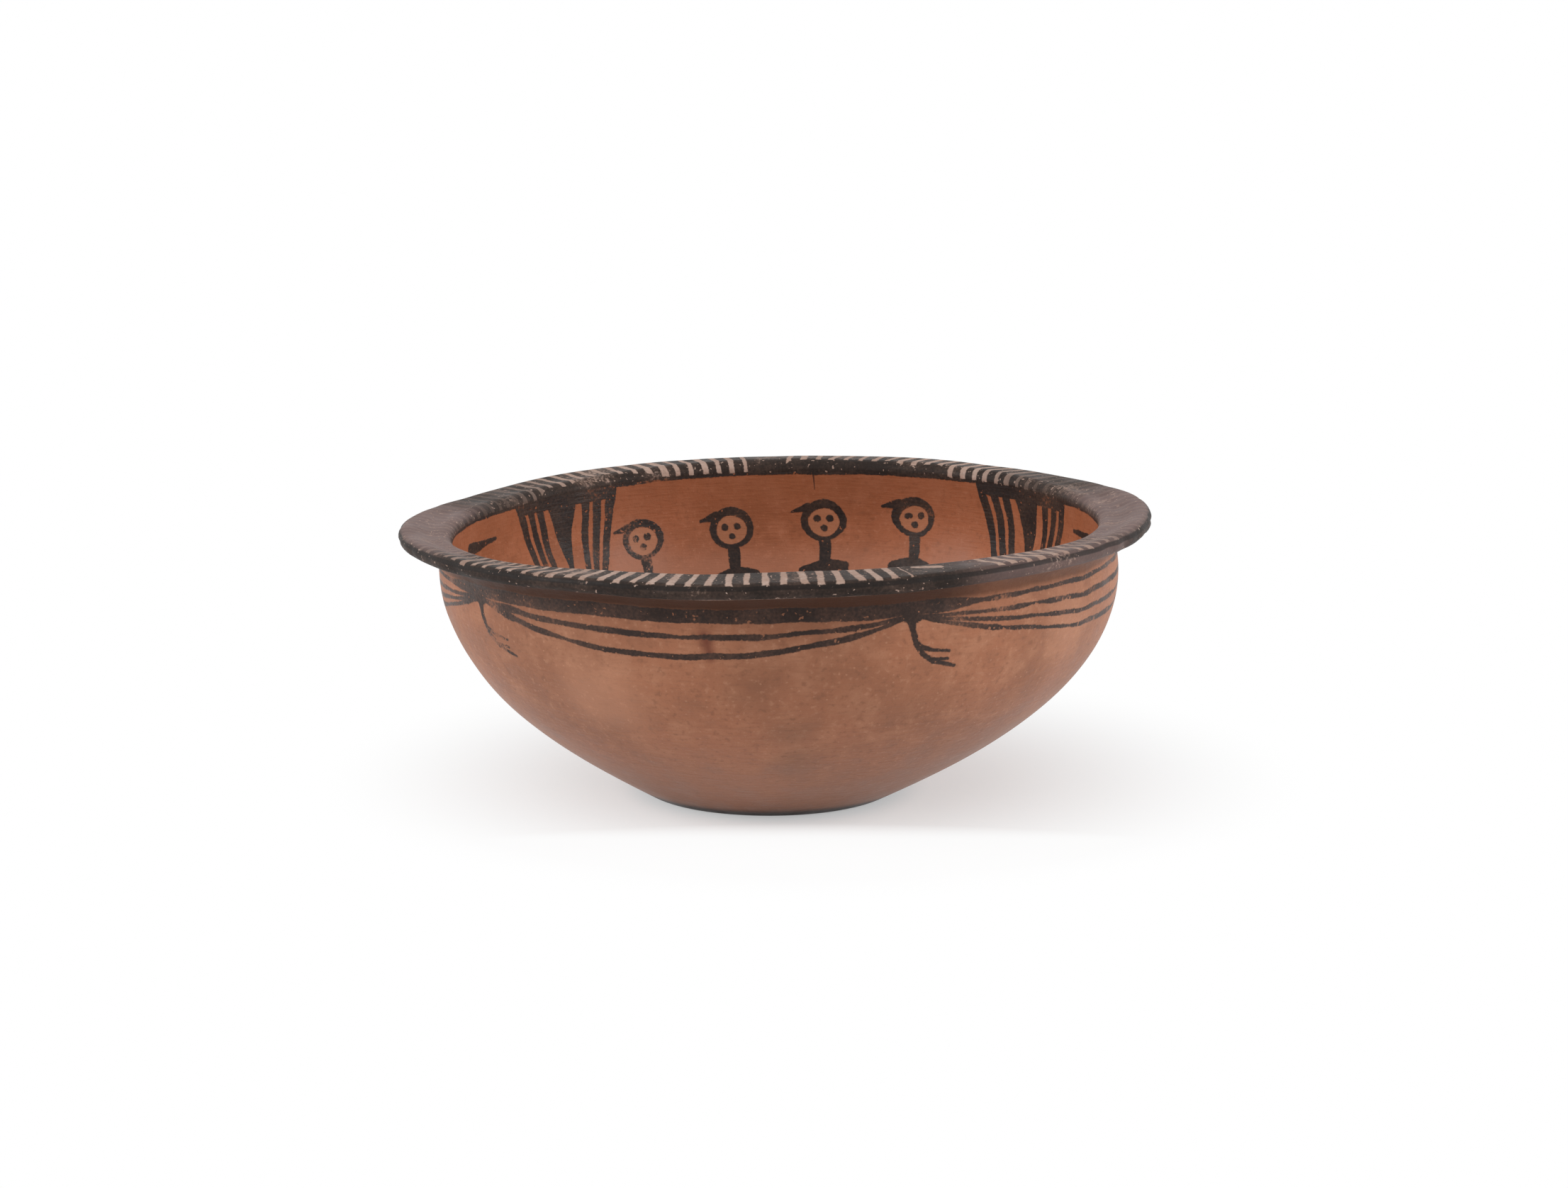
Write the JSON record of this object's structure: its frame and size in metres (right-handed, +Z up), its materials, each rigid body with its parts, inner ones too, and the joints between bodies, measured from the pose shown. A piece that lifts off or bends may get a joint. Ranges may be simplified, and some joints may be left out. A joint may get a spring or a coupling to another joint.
{
  "type": "earthenware basin",
  "caption": "Open hand-built earthenware basin on a flat base, with a rounded wall, an upright neck and a broad turned-out rim flange, for serving or washing.",
  "frame": {"origin": "on the ground under the middle of the rim", "axes": "+Z up out of the open mouth, +X towards the side where the uneven rim stands highest, -Y towards the viewer"},
  "size_m": [0.29, 0.29, 0.1134],
  "materials": {
    "bare_clay": "unglazed red-brown fired clay, lightly burnished, smoked in places",
    "banded_clay": "fired clay under a worn band of dark brown painted slip",
    "painted_rim": "dark brown painted slip with bare clay strokes, worn along the edges"
  },
  "bodies": {
    "root": {"base_disc": "bare_clay", "wall_coil_1": "bare_clay", "wall_coil_2": "bare_clay", "wall_coil_3": "bare_clay", "wall_coil_4": "bare_clay", "wall_coil_5": "bare_clay", "wall_coil_6": "bare_clay", "wall_coil_7": "banded_clay", "rim_flange": "painted_rim"}
  },
  "joints": []
}
